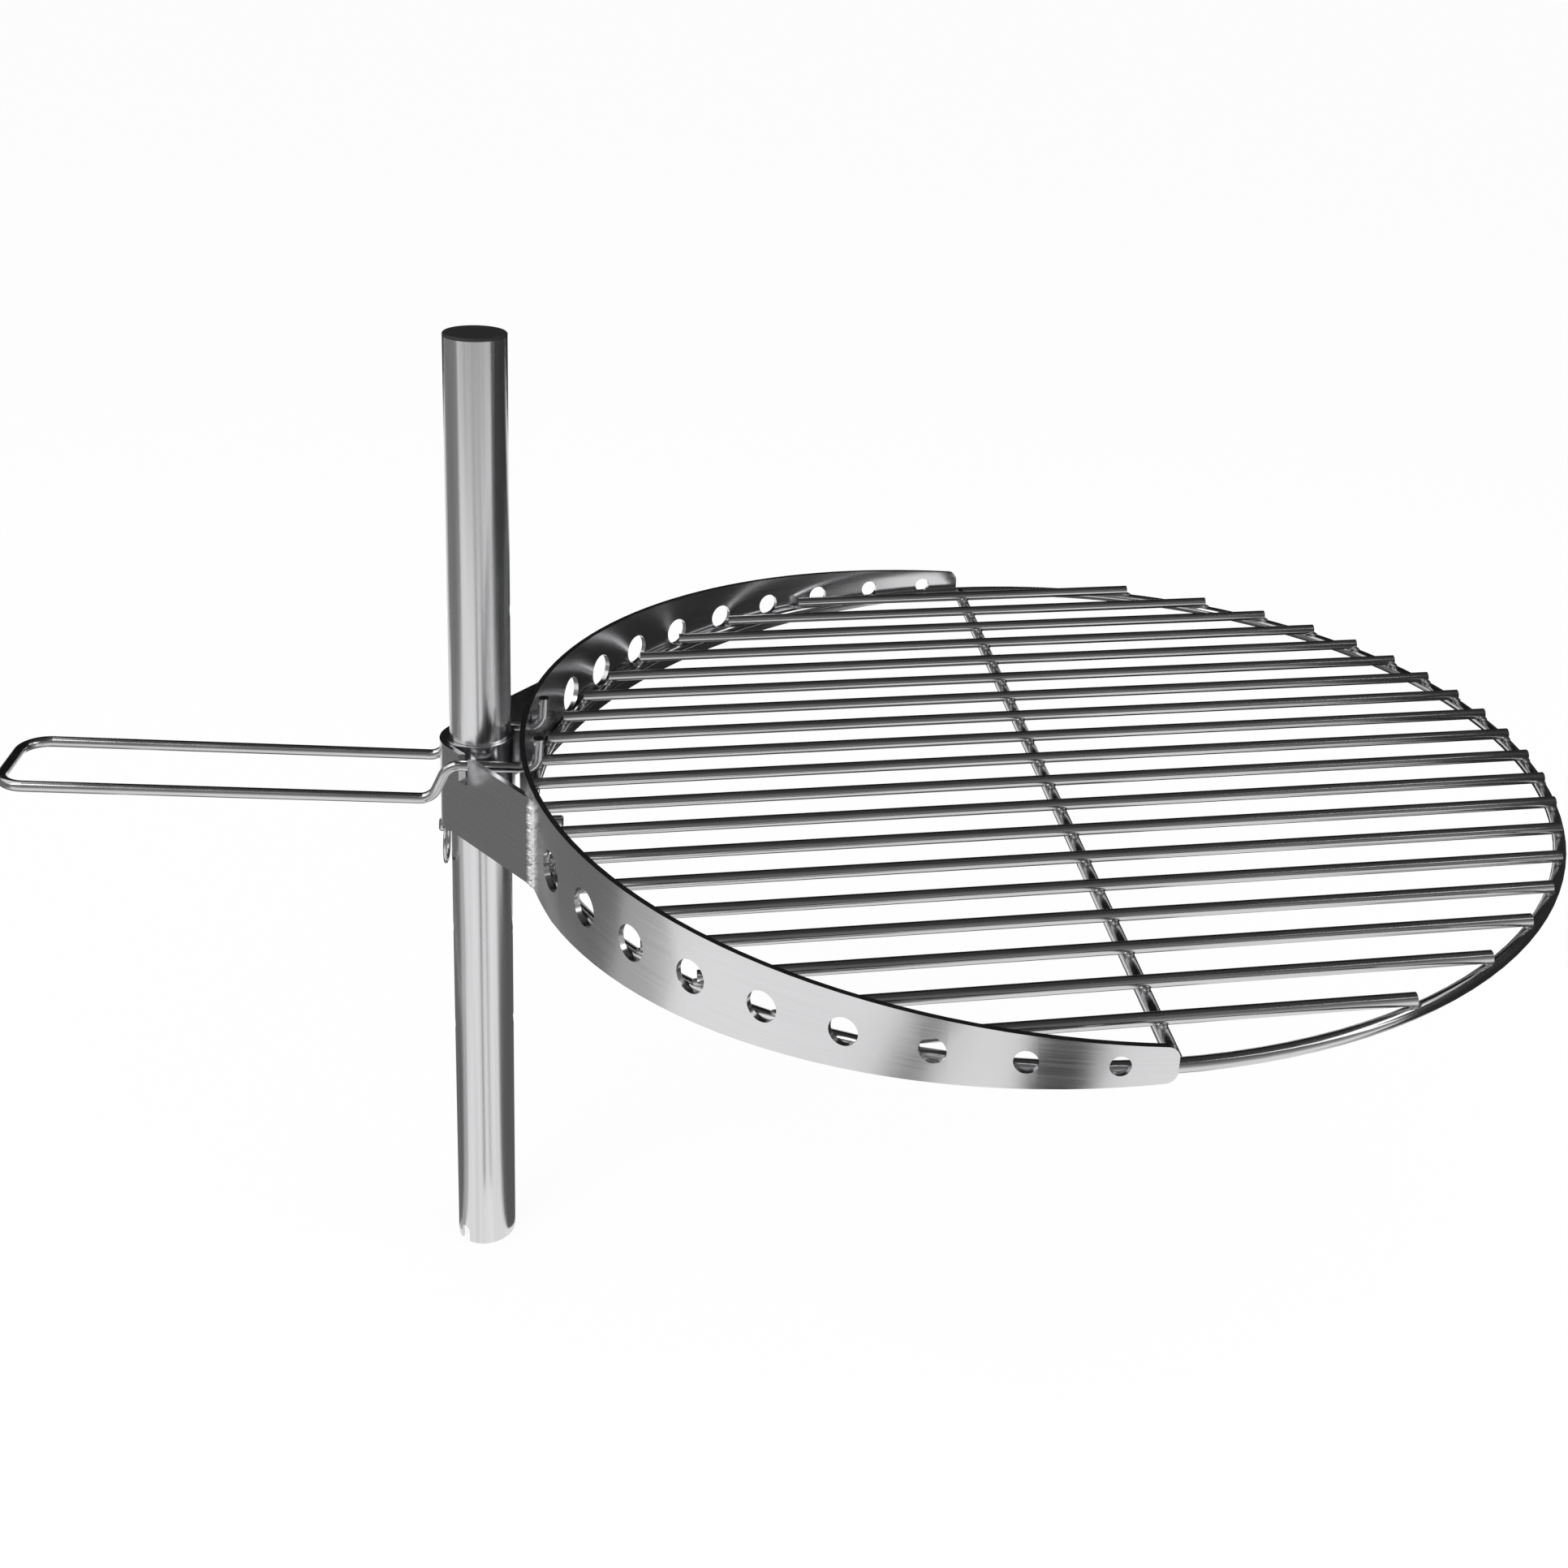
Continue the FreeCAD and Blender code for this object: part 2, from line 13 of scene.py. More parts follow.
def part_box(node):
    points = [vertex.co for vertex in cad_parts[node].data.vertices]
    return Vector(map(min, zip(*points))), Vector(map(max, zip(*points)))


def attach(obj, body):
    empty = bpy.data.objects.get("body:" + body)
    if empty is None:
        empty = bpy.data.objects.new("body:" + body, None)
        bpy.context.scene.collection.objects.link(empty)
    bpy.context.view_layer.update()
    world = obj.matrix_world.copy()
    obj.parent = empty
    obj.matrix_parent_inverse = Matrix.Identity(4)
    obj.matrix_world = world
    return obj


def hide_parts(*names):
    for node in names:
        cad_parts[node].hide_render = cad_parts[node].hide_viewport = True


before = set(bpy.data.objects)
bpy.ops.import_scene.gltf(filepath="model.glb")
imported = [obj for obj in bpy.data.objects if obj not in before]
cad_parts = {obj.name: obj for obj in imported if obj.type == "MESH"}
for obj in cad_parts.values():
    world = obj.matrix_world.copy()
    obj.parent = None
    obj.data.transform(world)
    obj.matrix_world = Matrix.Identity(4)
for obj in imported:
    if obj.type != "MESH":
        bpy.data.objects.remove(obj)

LOG = logging.getLogger("fire_pit_grill")
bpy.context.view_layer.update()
PHOTO_SIDE = 1932.0
SENSOR = 36.0
WHITE = (1.0, 1.0, 1.0, 1.0)
SHEET_LEVEL = 0.001
PATTERN_LOW, PATTERN_HIGH = 0.3, 0.7
LINE_DETAIL, CLOUD_DETAIL = 3.0, 2.0
LINE_SHARE, CLOUD_SHARE = 0.45, 0.55
RELIEF_DEPTH = 0.0002
MIX_COLOUR_A, MIX_COLOUR_B, MIX_COLOUR_OUT = 6, 7, 2


class Slot(Enum):
    """Material slots of the record that the pieces take their finish from."""

    TUBE = "tube_steel"
    PLATE = "plate_steel"
    ROD = "rod_steel"
    PIN = "pin_steel"
    WELD = "weld_steel"
    CAP = "cap_plastic"


class Grain(Enum):
    """Way a steel surface was drawn or brushed, as the stretch of its pattern in each axis."""

    UPRIGHT = (520.0, 520.0, 5.0)
    LEVEL = (14.0, 14.0, 900.0)
    ALONG_BARS = (7.0, 620.0, 620.0)
    NONE = (34.0, 34.0, 34.0)


class NodeGraph:
    """Small helper that adds and links shader nodes in one material or world."""

    def __init__(self, owner: bpy.types.Material | bpy.types.World) -> None:
        """Empty the owner's node tree and keep it.

        Args:
            owner: The material or world whose nodes are built.
        """
        owner.use_nodes = True
        self.tree = owner.node_tree
        self.tree.nodes.clear()

    def feed(self, socket: bpy.types.NodeSocket, value: object) -> None:
        """Link an output socket to an input, or set the input to a plain value.

        Args:
            socket: The input.
            value: The output socket or the value.
        """
        if isinstance(value, bpy.types.NodeSocket):
            self.tree.links.new(value, socket)
        else:
            socket.default_value = value

    def add(self, kind: str, **sockets: object) -> bpy.types.Node:
        """Add one node and set or link its inputs.

        Args:
            kind: Blender's type name of the node.
            sockets: Input names, with _ for a space, and a value or an output socket for each.

        Returns:
            The new node.
        """
        node = self.tree.nodes.new(kind)
        for name, value in sockets.items():
            self.feed(node.inputs[name.replace("_", " ")], value)
        return node

    def maths(self, operation: str, first: object, second: object) -> bpy.types.NodeSocket:
        """Add a Math node on two values or sockets.

        Args:
            operation: Blender's name of the operation.
            first: The first value or socket.
            second: The second value or socket.

        Returns:
            The node's output socket.
        """
        node = self.tree.nodes.new("ShaderNodeMath")
        node.operation = operation
        for socket, value in zip(node.inputs, (first, second)):
            self.feed(socket, value)
        return node.outputs["Value"]

    def tone(
        self, factor: bpy.types.NodeSocket, dark: Sequence[float], light: Sequence[float]
    ) -> bpy.types.NodeSocket:
        """Blend two colours by a pattern.

        Args:
            factor: The pattern's output.
            dark: Colour where the pattern is low.
            light: Colour where the pattern is high.

        Returns:
            The blended colour's socket.
        """
        node = self.tree.nodes.new("ShaderNodeMix")
        node.data_type = "RGBA"
        self.feed(node.inputs["Factor"], factor)
        self.feed(node.inputs[MIX_COLOUR_A], (*dark, 1.0))
        self.feed(node.inputs[MIX_COLOUR_B], (*light, 1.0))
        return node.outputs[MIX_COLOUR_OUT]

    def blend_shaders(
        self, factor: bpy.types.NodeSocket, first: bpy.types.Node, second: bpy.types.Node
    ) -> bpy.types.NodeSocket:
        """Mix two shaders.

        Args:
            factor: Share of the second shader.
            first: Node of the first shader.
            second: Node of the second shader.

        Returns:
            The mixed shader's socket.
        """
        node = self.tree.nodes.new("ShaderNodeMixShader")
        for socket, source in zip(node.inputs, (factor, first.outputs[0], second.outputs[0])):
            self.feed(socket, source)
        return node.outputs[0]

    def spread(self, source: bpy.types.NodeSocket, low: float, high: float) -> bpy.types.NodeSocket:
        """Map a pattern's middle range to two values.

        Args:
            source: The pattern's output.
            low: Value where the pattern is low.
            high: Value where the pattern is high.

        Returns:
            The mapped output socket.
        """
        node = self.add(
            "ShaderNodeMapRange",
            Value=source,
            From_Min=PATTERN_LOW,
            From_Max=PATTERN_HIGH,
            To_Min=low,
            To_Max=high,
        )
        return node.outputs["Result"]

    def pattern(self, scale: Sequence[float], detail: float) -> bpy.types.NodeSocket:
        """Add a noise on Object coordinates.

        Args:
            scale: Stretch of the pattern in each axis, in turns per metre.
            detail: Number of finer layers.

        Returns:
            The noise's output socket.
        """
        place = self.add("ShaderNodeTexCoord")
        mapping = self.add("ShaderNodeMapping", Vector=place.outputs["Object"], Scale=tuple(scale))
        noise = self.add(
            "ShaderNodeTexNoise", Vector=mapping.outputs["Vector"], Scale=1.0, Detail=detail
        )
        return noise.outputs["Fac"]


@dataclass(frozen=True)
class SteelFinish:
    """A stainless steel surface with its grain, cloudy tone and fine scratches."""

    slot: Slot
    dark: tuple[float, float, float]
    light: tuple[float, float, float]
    smooth: float
    rough: float
    grain: Grain
    cloud: tuple[float, float, float] = (9.0, 9.0, 9.0)
    relief: float = 0.06

    def material(self) -> bpy.types.Material:
        """Build the finish as a node material.

        Returns:
            The new material.
        """
        made = bpy.data.materials.new(self.slot.value + "_" + self.grain.name.lower())
        graph = NodeGraph(made)
        lines = graph.pattern(self.grain.value, LINE_DETAIL)
        clouds = graph.pattern(self.cloud, CLOUD_DETAIL)
        blend = graph.maths(
            "ADD", graph.spread(lines, 0.0, LINE_SHARE), graph.spread(clouds, 0.0, CLOUD_SHARE)
        )
        bump = graph.add(
            "ShaderNodeBump", Strength=self.relief, Distance=RELIEF_DEPTH, Height=lines
        )
        shader = graph.add(
            "ShaderNodeBsdfPrincipled",
            Base_Color=graph.tone(blend, self.dark, self.light),
            Metallic=1.0,
            Roughness=graph.spread(lines, self.smooth, self.rough),
            Normal=bump.outputs["Normal"],
        )
        graph.add("ShaderNodeOutputMaterial", Surface=shader.outputs["BSDF"])
        return made


@dataclass(frozen=True)
class PlasticFinish:
    """A matt moulded plastic with a fine spark-eroded grain."""

    slot: Slot
    dark: tuple[float, float, float]
    light: tuple[float, float, float]
    roughness: float
    grain: float
    roughness_spread: float = 0.12
    relief: float = 0.25

    def material(self) -> bpy.types.Material:
        """Build the finish as a node material.

        Returns:
            The new material.
        """
        made = bpy.data.materials.new(self.slot.value)
        graph = NodeGraph(made)
        fine = graph.pattern((self.grain,) * 3, CLOUD_DETAIL)
        bump = graph.add(
            "ShaderNodeBump", Strength=self.relief, Distance=RELIEF_DEPTH, Height=fine
        )
        shader = graph.add(
            "ShaderNodeBsdfPrincipled",
            Base_Color=graph.tone(graph.spread(fine, 0.0, 1.0), self.dark, self.light),
            Roughness=graph.spread(fine, self.roughness, self.roughness + self.roughness_spread),
            Normal=bump.outputs["Normal"],
        )
        graph.add("ShaderNodeOutputMaterial", Surface=shader.outputs["BSDF"])
        return made


WELD_CLOUD = (140.0, 140.0, 240.0)
WELD_RELIEF = 0.12
# The tube's cloud is stretched upright into long streaks of lighter and darker base colour: partly
# the drawn grain of the tube, partly painted upright reflection streaks.
TUBE_FINISH = SteelFinish(
    Slot.TUBE, (0.60, 0.60, 0.61), (0.80, 0.80, 0.81), 0.20, 0.28, Grain.UPRIGHT, (60.0, 60.0, 1.5)
)
PLATE_FINISH = SteelFinish(
    Slot.PLATE, (0.64, 0.64, 0.65), (0.72, 0.72, 0.73), 0.17, 0.21, Grain.LEVEL, relief=0.012
)
BAR_FINISH = SteelFinish(
    Slot.ROD, (0.52, 0.52, 0.53), (0.66, 0.66, 0.67), 0.13, 0.20, Grain.ALONG_BARS, relief=0.03
)
ROD_FINISH = SteelFinish(
    Slot.ROD, (0.54, 0.54, 0.55), (0.64, 0.64, 0.65), 0.13, 0.18, Grain.NONE, relief=0.02
)
PIN_FINISH = SteelFinish(
    Slot.PIN, (0.50, 0.50, 0.51), (0.66, 0.66, 0.67), 0.14, 0.22, Grain.NONE, relief=0.03
)
WELD_FINISH = SteelFinish(
    Slot.WELD,
    (0.76, 0.76, 0.76),
    (0.94, 0.94, 0.94),
    0.36,
    0.50,
    Grain.NONE,
    WELD_CLOUD,
    WELD_RELIEF,
)
DOT_FINISH = SteelFinish(
    Slot.WELD,
    (0.34, 0.34, 0.34),
    (0.52, 0.52, 0.52),
    0.30,
    0.42,
    Grain.NONE,
    WELD_CLOUD,
    WELD_RELIEF,
)
CAP_FINISH = PlasticFinish(Slot.CAP, (0.010, 0.010, 0.011), (0.022, 0.022, 0.023), 0.48, 1800.0)


def mesh_object(bm: bmesh.types.BMesh, name: str, material: bpy.types.Material) -> bpy.types.Object:
    """Put a bmesh into the scene as an object of one material.

    Args:
        bm: The finished bmesh, which is freed.
        name: Name of the object and its mesh.
        material: Material that it shows.

    Returns:
        The new object, at the origin.
    """
    mesh = bpy.data.meshes.new(name)
    bm.to_mesh(mesh)
    bm.free()
    mesh.materials.append(material)
    made = bpy.data.objects.new(name, mesh)
    bpy.context.scene.collection.objects.link(made)
    return made


def finished_piece(
    bm: bmesh.types.BMesh, name: str, body: str, material: bpy.types.Material
) -> bpy.types.Object:
    """Turn a bmesh into a smooth-shaded piece that rides on a body.

    Args:
        bm: The finished bmesh, which is freed.
        name: Name of the piece.
        body: CAD body that it moves with.
        material: Material that it shows.

    Returns:
        The new object, at the origin.
    """
    bmesh.ops.recalc_face_normals(bm, faces=bm.faces[:])
    piece = mesh_object(bm, name, material)
    for polygon in piece.data.polygons:
        polygon.use_smooth = True
    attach(piece, body)
    LOG.info("%s rides on %s", name, body)
    return piece


def dress_node(name: str, material: bpy.types.Material) -> None:
    """Give a CAD node one material in place of its plain ones.

    Args:
        name: Name of the node.
        material: Material that it shows.
    """
    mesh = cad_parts[name].data
    mesh.materials.clear()
    mesh.materials.append(material)
    LOG.info("%s dressed in %s", name, material.name)


@dataclass
class PostAssembly:
    """The upright tube with its row of height holes, and the cap on top."""

    tube: str = "post_tube"
    cap: str = "end_cap"

    def dress(self) -> None:
        """Give the tube its polished steel and the cap its matt plastic."""
        dress_node(self.tube, TUBE_FINISH.material())
        dress_node(self.cap, CAP_FINISH.material())


@dataclass
class StopPinAssembly:
    """The pin that carries the grate, with its pull ring."""

    pin: str = "stop_pin"
    ring: str = "pull_ring"

    def dress(self) -> None:
        """Give the pin and its ring their bright steel."""
        steel = PIN_FINISH.material()
        dress_node(self.pin, steel)
        dress_node(self.ring, steel)


@dataclass(frozen=True)
class Wave:
    """A regular wander along a weld bead."""

    depth: float
    turns: float
    start: float = 0.0

    def at(self, along: float) -> float:
        """Give the wave's height at a distance along the bead."""
        return self.depth * math.sin(along * self.turns + self.start)


@dataclass
class CarrierAssembly:
    """The collar, the folded bracket, the band round the grate and the welds between them."""

    plates: tuple[str, ...] = ("guide_collar", "bracket", "band")
    welds: tuple[str, ...] = ("front_weld", "back_weld")
    body: str = "grill"
    bead_half: float = 0.0042
    bead_proud: float = 0.0021
    bead_sink: float = 0.0012
    ripple_pitch: float = 0.0031
    ripple_depth: float = 0.50
    ripple_bow: float = 0.55
    ripple_waves: tuple[Wave, ...] = (Wave(0.35, 610.0), Wave(0.25, 1430.0, 1.3))
    width_waves: tuple[Wave, ...] = (Wave(0.06, 870.0), Wave(0.04, 2300.0))
    seam_normal: tuple[float, float] = (-0.90, 0.436)
    seam_depth: float = 0.0009
    stations_per_ripple: int = 8
    strips: int = 14

    def dress(self) -> None:
        """Give the plates their smooth rolled steel."""
        steel = PLATE_FINISH.material()
        for name in self.plates:
            dress_node(name, steel)

    def bead_height(self, along: float, across: float, length: float) -> float:
        """Give the height of the bead's skin over the seam, as a share of its full height.

        Args:
            along: Distance from the bead's lower end.
            across: Place over the bead's width, from -1 to 1.
            length: Length of the bead.

        Returns:
            The share, which is 0 at the bead's toes and ends.
        """
        crown = 1.0 - across * across
        wander = sum(wave.at(along) for wave in self.ripple_waves)
        phase = (along / self.ripple_pitch + wander + self.ripple_bow * across * across) % 1.0
        ripple = 1.0 - self.ripple_depth * phase * phase
        end = min(along, length - along) / self.bead_half
        close = math.sqrt(max(0.0, 1.0 - (1.0 - min(end, 1.0)) ** 2))
        return crown * ripple * close

    def build_bead(self, node: str, material: bpy.types.Material) -> bpy.types.Object:
        """Lay a rippled weld bead in the seam where the CAD model has its plain one.

        Args:
            node: CAD node that the bead stands for.
            material: Weld finish.

        Returns:
            The bead.
        """
        low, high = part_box(node)
        middle = (low + high) / 2.0
        length = high.z - low.z
        side = math.copysign(1.0, middle.y)
        outward = Vector((self.seam_normal[0], self.seam_normal[1] * side, 0.0))
        across_way = Vector((-outward.y, outward.x, 0.0))
        foot = Vector((middle.x, middle.y, low.z)) - outward * self.seam_depth
        stations = int(length / self.ripple_pitch * self.stations_per_ripple)
        full = self.bead_proud + self.bead_sink
        bm = bmesh.new()
        bmesh.ops.create_grid(bm, x_segments=stations, y_segments=self.strips, size=1.0)
        for vert in bm.verts:
            along = length * (vert.co.x + 1.0) / 2.0
            across = vert.co.y
            wide = self.bead_half * sum((wave.at(along) for wave in self.width_waves), 1.0)
            rise = self.bead_height(along, across, length) * full - self.bead_sink
            up = Vector((0.0, 0.0, along))
            vert.co = foot + across_way * (across * wide) + outward * rise + up
        edges = [edge for edge in bm.edges if edge.is_boundary]
        bmesh.ops.contextual_create(bm, geom=edges)
        bead = finished_piece(bm, node + "_ripples", self.body, material)
        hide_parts(node)
        return bead

    def build(self) -> None:
        """Lay both weld beads."""
        steel = WELD_FINISH.material()
        for node in self.welds:
            self.build_bead(node, steel)


@dataclass
class GrateAssembly:
    """The cooking grate: rim, cross rod, bars and the small welds that hold them."""

    rim: str = "grate_rim"
    cross: str = "cross_rod"
    bar_stem: str = "grate_bar_"
    body: str = "grill"
    bars: list[str] = field(default_factory=list)
    dot_size: tuple[float, float, float] = (0.0026, 0.0042, 0.0014)
    dot_inset: float = 0.4
    dot_segments: int = 10
    dot_rings: int = 6

    def __post_init__(self) -> None:
        """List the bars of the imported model."""
        self.bars = sorted(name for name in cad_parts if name.startswith(self.bar_stem))

    def dress(self) -> None:
        """Give the bars and rods their bright drawn steel."""
        along = BAR_FINISH.material()
        for name in self.bars:
            dress_node(name, along)
        plain = ROD_FINISH.material()
        for name in (self.rim, self.cross):
            dress_node(name, plain)

    def dot_places(self) -> Iterable[tuple[Vector, float]]:
        """Give the points where bars touch the rim and the cross rod.

        Returns:
            The contact points, one after another, with the bearing of the rod under each.
        """
        low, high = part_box(self.rim)
        centre = (low + high) / 2.0
        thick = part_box(self.bars[0])[1].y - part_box(self.bars[0])[0].y
        ring = (high.y - low.y) / 2.0 - thick / 2.0
        cross_low, cross_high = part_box(self.cross)
        cross_x = (cross_low.x + cross_high.x) / 2.0
        for name in self.bars:
            bar_low, bar_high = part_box(name)
            across = (bar_low.y + bar_high.y) / 2.0
            grade = (bar_high.z - bar_low.z - thick) / (bar_high.x - bar_low.x)
            half_chord = math.sqrt(max(ring * ring - (across - centre.y) ** 2, 0.0))
            reach = half_chord - self.dot_size[0] * self.dot_inset
            for place in (centre.x - reach, centre.x + reach, cross_x):
                bearing = 0.0
                if place != cross_x:
                    bearing = math.atan2(across - centre.y, place - centre.x)
                yield Vector((place, across, bar_low.z + grade * (place - bar_low.x))), bearing

    def build(self) -> None:
        """Melt a small weld into every crossing of the grate."""
        bm = bmesh.new()
        for place, bearing in self.dot_places():
            matrix = (
                Matrix.Translation(place)
                @ Matrix.Rotation(bearing, 4, "Z")
                @ Matrix.Diagonal((*self.dot_size, 1.0))
            )
            bmesh.ops.create_uvsphere(
                bm,
                u_segments=self.dot_segments,
                v_segments=self.dot_rings,
                radius=1.0,
                matrix=matrix,
            )
        finished_piece(bm, "grate_weld_dots", self.body, DOT_FINISH.material())


@dataclass
class HandleAssembly:
    """The bent rod handle that hooks through two slots of the band."""

    rod: str = "handle"

    def dress(self) -> None:
        """Give the rod its bright drawn steel."""
        dress_node(self.rod, ROD_FINISH.material())


@dataclass(frozen=True)
class Card:
    """A grey or black sheet hung round the studio or laid on its floor that glows with its own shade
    and is seen only in reflections, where it paints dark and grey reflections on the steel.
    """

    name: str
    corners: tuple[tuple[float, float, float], ...]
    shade: float

    @classmethod
    def upright(
        cls,
        name: str,
        start: tuple[float, float],
        end: tuple[float, float],
        low: float,
        high: float,
        shade: float,
    ) -> "Card":
        """Make a card that stands upright over a line on the floor."""
        return cls(name, ((*start, low), (*end, low), (*end, high), (*start, high)), shade)

    @classmethod
    def laid(
        cls,
        name: str,
        points: Sequence[tuple[float, float]],
        shade: float,
        level: float = SHEET_LEVEL,
    ) -> "Card":
        """Make a level card from its corners in order."""
        return cls(name, tuple((*point, level) for point in points), shade)

    @classmethod
    def flat(
        cls,
        name: str,
        low: tuple[float, float],
        high: tuple[float, float],
        shade: float,
        level: float = SHEET_LEVEL,
    ) -> "Card":
        """Make a level square-cornered card from its lowest and highest corner."""
        return cls.laid(name, (low, (high[0], low[1]), high, (low[0], high[1])), shade, level)

    def build(self) -> bpy.types.Object:
        """Put the card in the studio.

        Returns:
            The card's object, hidden from camera, diffuse, shadow and transmission rays.
        """
        paint = bpy.data.materials.new(self.name)
        graph = NodeGraph(paint)
        # The card glows with its own shade instead of being lit, so its shade is a painted
        # reflection on the steel.
        colour = (self.shade,) * 3 + (1.0,)
        glow = graph.add("ShaderNodeEmission", Color=colour, Strength=1.0)
        graph.add("ShaderNodeOutputMaterial", Surface=glow.outputs["Emission"])
        bm = bmesh.new()
        bm.faces.new([bm.verts.new(corner) for corner in self.corners])
        card = mesh_object(bm, self.name, paint)
        card.visible_camera = False
        card.visible_diffuse = False
        card.visible_shadow = False
        card.visible_transmission = False
        return card


@dataclass(frozen=True)
class Lamp:
    """A soft square lamp."""

    name: str
    place: tuple[float, float, float]
    aim: tuple[float, float, float]
    size: float
    watts: float

    def build(self) -> bpy.types.Object:
        """Hang the lamp so that it faces its aim.

        Returns:
            The lamp's object.
        """
        data = bpy.data.lights.new(self.name, "AREA")
        data.size = self.size
        data.energy = self.watts
        lamp = bpy.data.objects.new(self.name, data)
        bpy.context.scene.collection.objects.link(lamp)
        lamp.location = self.place
        lamp.rotation_mode = "QUATERNION"
        lamp.rotation_quaternion = (Vector(self.aim) - Vector(self.place)).to_track_quat("-Z", "Y")
        return lamp


@dataclass
class Studio:
    """Floor, white surround, soft lamps, glowing grey and black cards that paint reflections on the
    steel, and the camera.
    """

    eye: tuple[float, float, float] = (0.0828030, -0.9608397, 0.7838057)
    yaw: float = 0.17680
    pitch: float = 0.30697
    roll: float = 0.0668
    focal: float = 2237.162
    axis_point: tuple[float, float] = (1159.7, 617.74)
    clip: tuple[float, float] = (0.01, 60.0)
    surround_light: float = 0.85
    floor_half: float = 40.0
    floor_drop: float = 0.0004
    floor_shade: float = 0.86
    floor_glow: float = 0.92
    lamps: tuple[Lamp, ...] = (
        Lamp("key_lamp", (-1.1, -1.3, 2.1), (0.2, 0.0, 0.3), 1.3, 24.0),
        Lamp("fill_lamp", (1.7, -0.8, 1.5), (0.3, 0.0, 0.3), 1.5, 12.0),
    )
    # Each card's place and shade set the painted dark and grey reflection bands on the tube, band,
    # bracket and bars.
    cards: tuple[Card, ...] = (
        Card.upright("card_back", (-1.6, 0.72), (2.2, 0.72), 0.30, 1.5, 0.012),
        Card.upright("card_behind_low", (-1.8, -1.25), (2.6, -1.25), 0.0, 0.35, 0.56),
        Card.upright("card_behind_middle", (-1.8, -1.25), (2.6, -1.25), 0.35, 0.80, 0.28),
        Card.upright("card_behind_high", (-1.8, -1.25), (2.6, -1.25), 0.80, 2.60, 0.14),
        Card.upright("card_left", (-0.72, -0.41), (-0.72, 0.72), 0.0, 0.62, 0.22),
        Card.upright("card_right", (0.74, -0.43), (0.74, 0.72), 0.0, 0.62, 0.03),
        Card.flat("card_over", (-0.5, -0.9), (1.3, 0.72), 0.05, level=1.5),
        Card.flat("sheet_left", (-0.72, 0.0), (-0.28, 0.50), 0.18),
        Card.flat("sheet_left_soft", (-0.72, -0.17), (-0.28, 0.0), 0.50),
        Card.laid(
            "sheet_dark_strip", ((-0.008, -0.07), (0.0, -0.07), (0.0, -1.24), (-0.15, -1.24)), 0.16
        ),
        Card.laid(
            "sheet_grey_strip", ((0.02, -0.07), (0.029, -0.07), (0.50, -1.24), (0.345, -1.24)), 0.34
        ),
        Card.laid(
            "sheet_foot_right",
            ((0.018, -0.01), (0.26, -0.12), (0.46, -0.15), (0.46, 0.34), (0.018, 0.34)),
            0.12,
        ),
        Card.laid(
            "sheet_foot_right_soft",
            ((0.018, -0.012), (0.46, -0.27), (0.46, -0.15), (0.26, -0.12)),
            0.42,
            level=0.0015,
        ),
        Card.laid(
            "sheet_foot_left", ((-0.018, 0.0), (-0.27, 0.0), (-0.27, 0.40), (0.0, 0.40)), 0.16
        ),
        Card.laid(
            "sheet_foot_left_soft",
            ((-0.018, -0.008), (-0.27, -0.12), (-0.27, 0.0), (-0.018, 0.0)),
            0.48,
        ),
        Card.flat("sheet_front", (0.17, -0.98), (0.30, -0.58), 0.03, level=0.002),
        Card.flat("sheet_back", (0.45, -0.05), (1.1, 0.70), 0.02),
        Card.flat("sheet_back_far", (0.10, 0.70), (1.3, 1.25), 0.03),
        Card.flat("sheet_back_left", (0.10, 0.36), (0.45, 0.70), 0.05),
        Card.flat("sheet_right", (0.60, -0.40), (1.1, -0.05), 0.55),
    )

    def seen_factor(self, graph: NodeGraph) -> bpy.types.NodeSocket:
        """Add the factor that is 1 for camera, glossy and transmission rays.

        Args:
            graph: The node graph that gets it.

        Returns:
            The factor's socket.
        """
        path = graph.add("ShaderNodeLightPath")
        seen = graph.maths("ADD", path.outputs["Is Camera Ray"], path.outputs["Is Glossy Ray"])
        seen = graph.maths("ADD", seen, path.outputs["Is Transmission Ray"])
        return graph.maths("MINIMUM", seen, 1.0)

    def build_surround(self) -> None:
        """Make the white surround, dimmer as a light than as a background."""
        world = bpy.data.worlds.new("surround")
        bpy.context.scene.world = world
        graph = NodeGraph(world)
        light = graph.add("ShaderNodeBackground", Color=WHITE, Strength=self.surround_light)
        white = graph.add("ShaderNodeBackground", Color=WHITE, Strength=1.0)
        both = graph.blend_shaders(self.seen_factor(graph), light, white)
        graph.add("ShaderNodeOutputWorld", Surface=both)

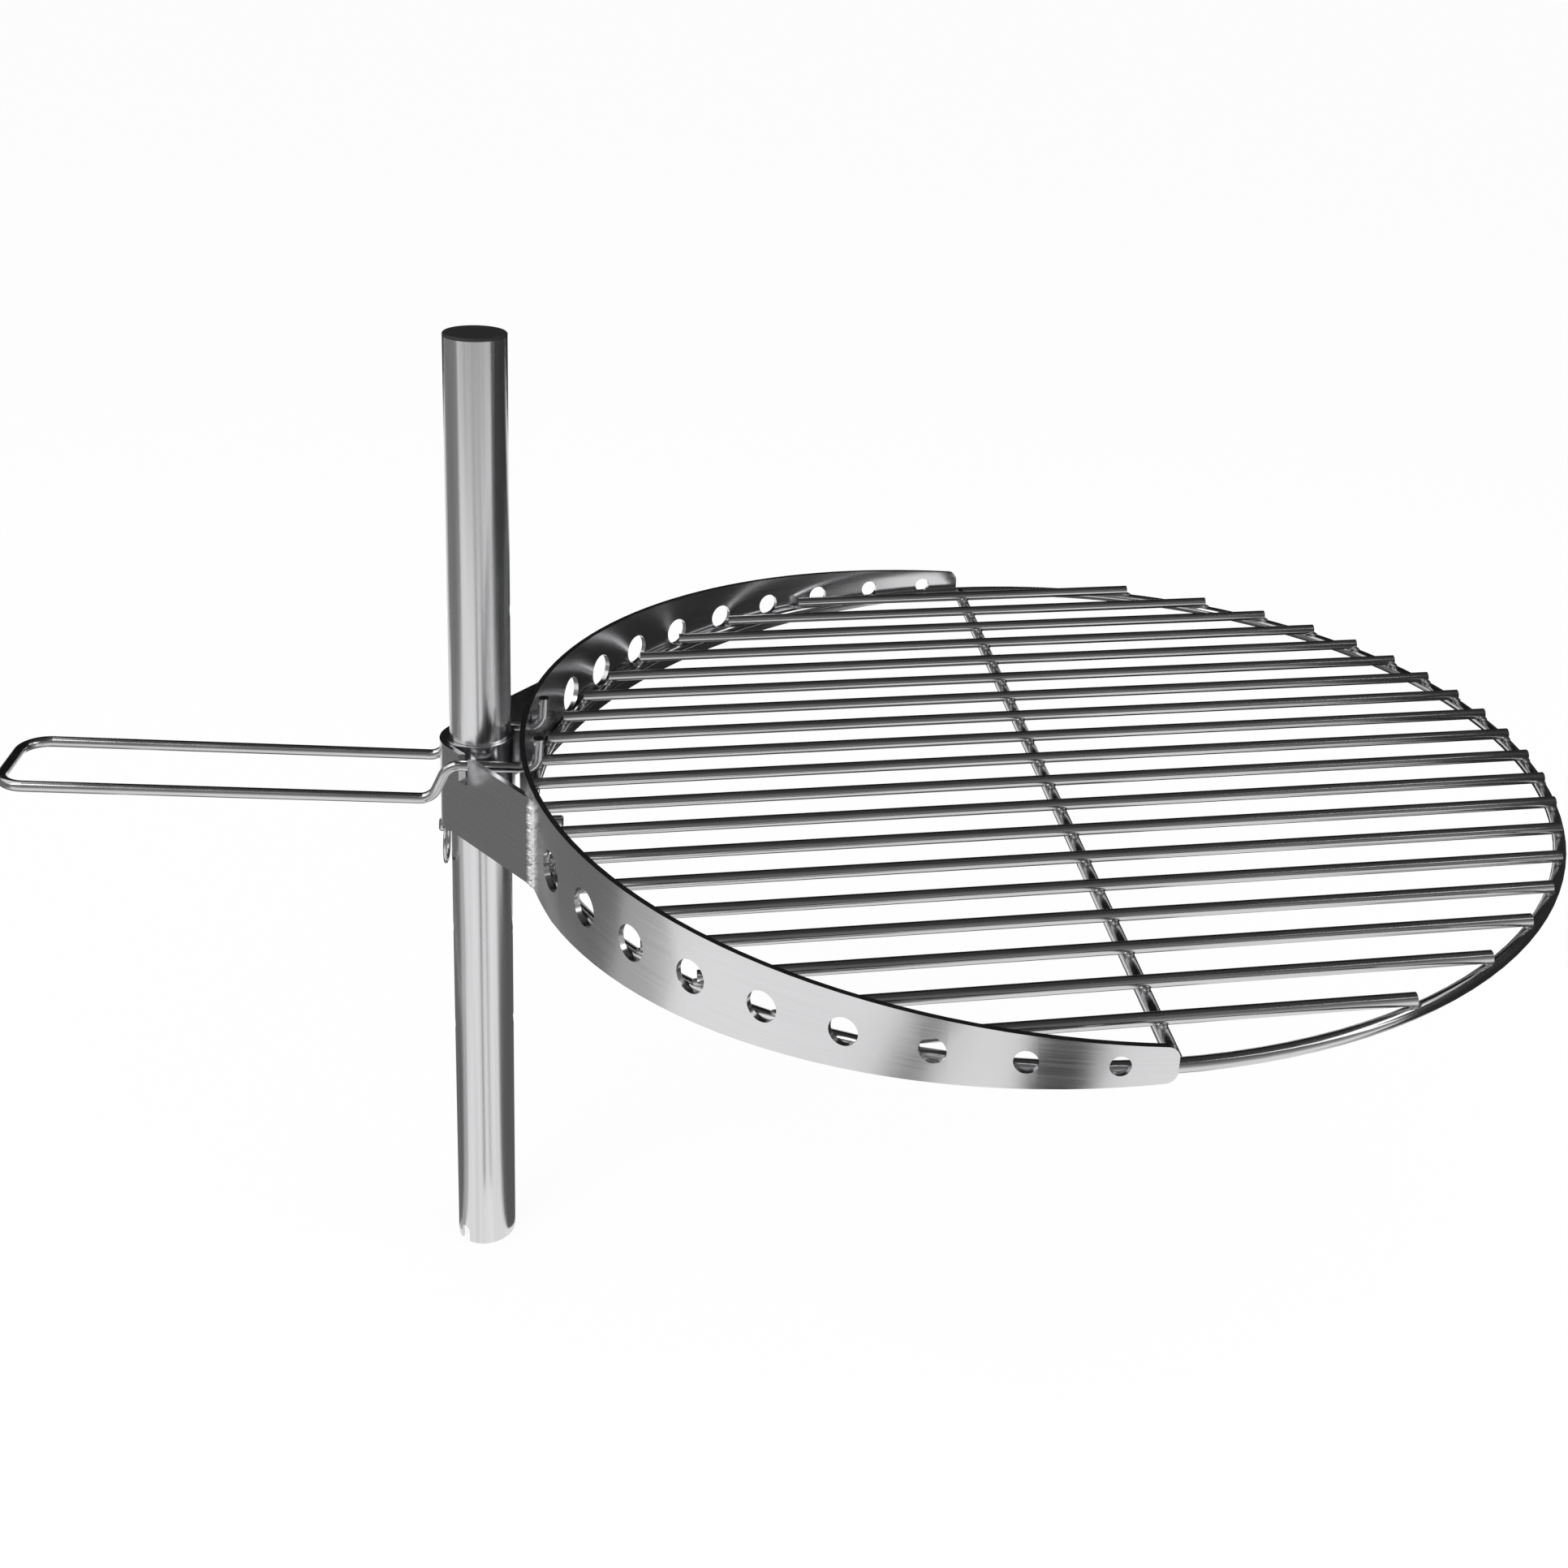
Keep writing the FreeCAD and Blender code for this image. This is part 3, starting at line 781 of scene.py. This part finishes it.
    def build_floor(self) -> None:
        """Lay the pale floor, which keeps the object's soft shadow."""
        paint = bpy.data.materials.new("floor_pale")
        graph = NodeGraph(paint)
        matt = graph.add("ShaderNodeBsdfDiffuse", Color=(self.floor_shade,) * 3 + (1.0,))
        glow = graph.add("ShaderNodeEmission", Color=WHITE, Strength=1.0)
        share = graph.maths("MULTIPLY", self.seen_factor(graph), self.floor_glow)
        graph.add("ShaderNodeOutputMaterial", Surface=graph.blend_shaders(share, matt, glow))
        bm = bmesh.new()
        bmesh.ops.create_grid(bm, x_segments=1, y_segments=1, size=self.floor_half)
        floor = mesh_object(bm, "floor", paint)
        floor.location.z = -self.floor_drop

    def build_camera(self) -> None:
        """Set the camera at the photograph's viewing angle."""
        forward = Vector((
            math.sin(self.yaw) * math.cos(self.pitch),
            math.cos(self.yaw) * math.cos(self.pitch),
            -math.sin(self.pitch),
        ))
        right = Vector((math.cos(self.yaw), -math.sin(self.yaw), 0.0))
        over = right.cross(forward)
        turn, lift = math.cos(self.roll), math.sin(self.roll)
        right, over = turn * right + lift * over, -lift * right + turn * over
        matrix = Matrix((right, over, -forward)).transposed().to_4x4()
        matrix.translation = self.eye
        data = bpy.data.cameras.new("photo_camera")
        data.sensor_width = SENSOR
        data.lens = self.focal / PHOTO_SIDE * SENSOR
        data.shift_x = (PHOTO_SIDE / 2.0 - self.axis_point[0]) / PHOTO_SIDE
        data.shift_y = (self.axis_point[1] - PHOTO_SIDE / 2.0) / PHOTO_SIDE
        data.clip_start, data.clip_end = self.clip
        camera = bpy.data.objects.new("photo_camera", data)
        bpy.context.scene.collection.objects.link(camera)
        camera.matrix_world = matrix
        bpy.context.scene.camera = camera

    def build(self) -> None:
        """Set up the whole studio."""
        bpy.context.scene.view_settings.view_transform = "Standard"
        self.build_surround()
        self.build_floor()
        for fitting in (*self.lamps, *self.cards):
            fitting.build()
        self.build_camera()


def main() -> None:
    """Dress every sub-assembly, then set up the studio."""
    logging.basicConfig(level=logging.INFO, format="%(name)s: %(message)s")
    post = PostAssembly()
    post.dress()
    pin = StopPinAssembly()
    pin.dress()
    carrier = CarrierAssembly()
    carrier.dress()
    carrier.build()
    grate = GrateAssembly()
    grate.dress()
    grate.build()
    handle = HandleAssembly()
    handle.dress()
    Studio().build()


if __name__ == "__main__":
    main()
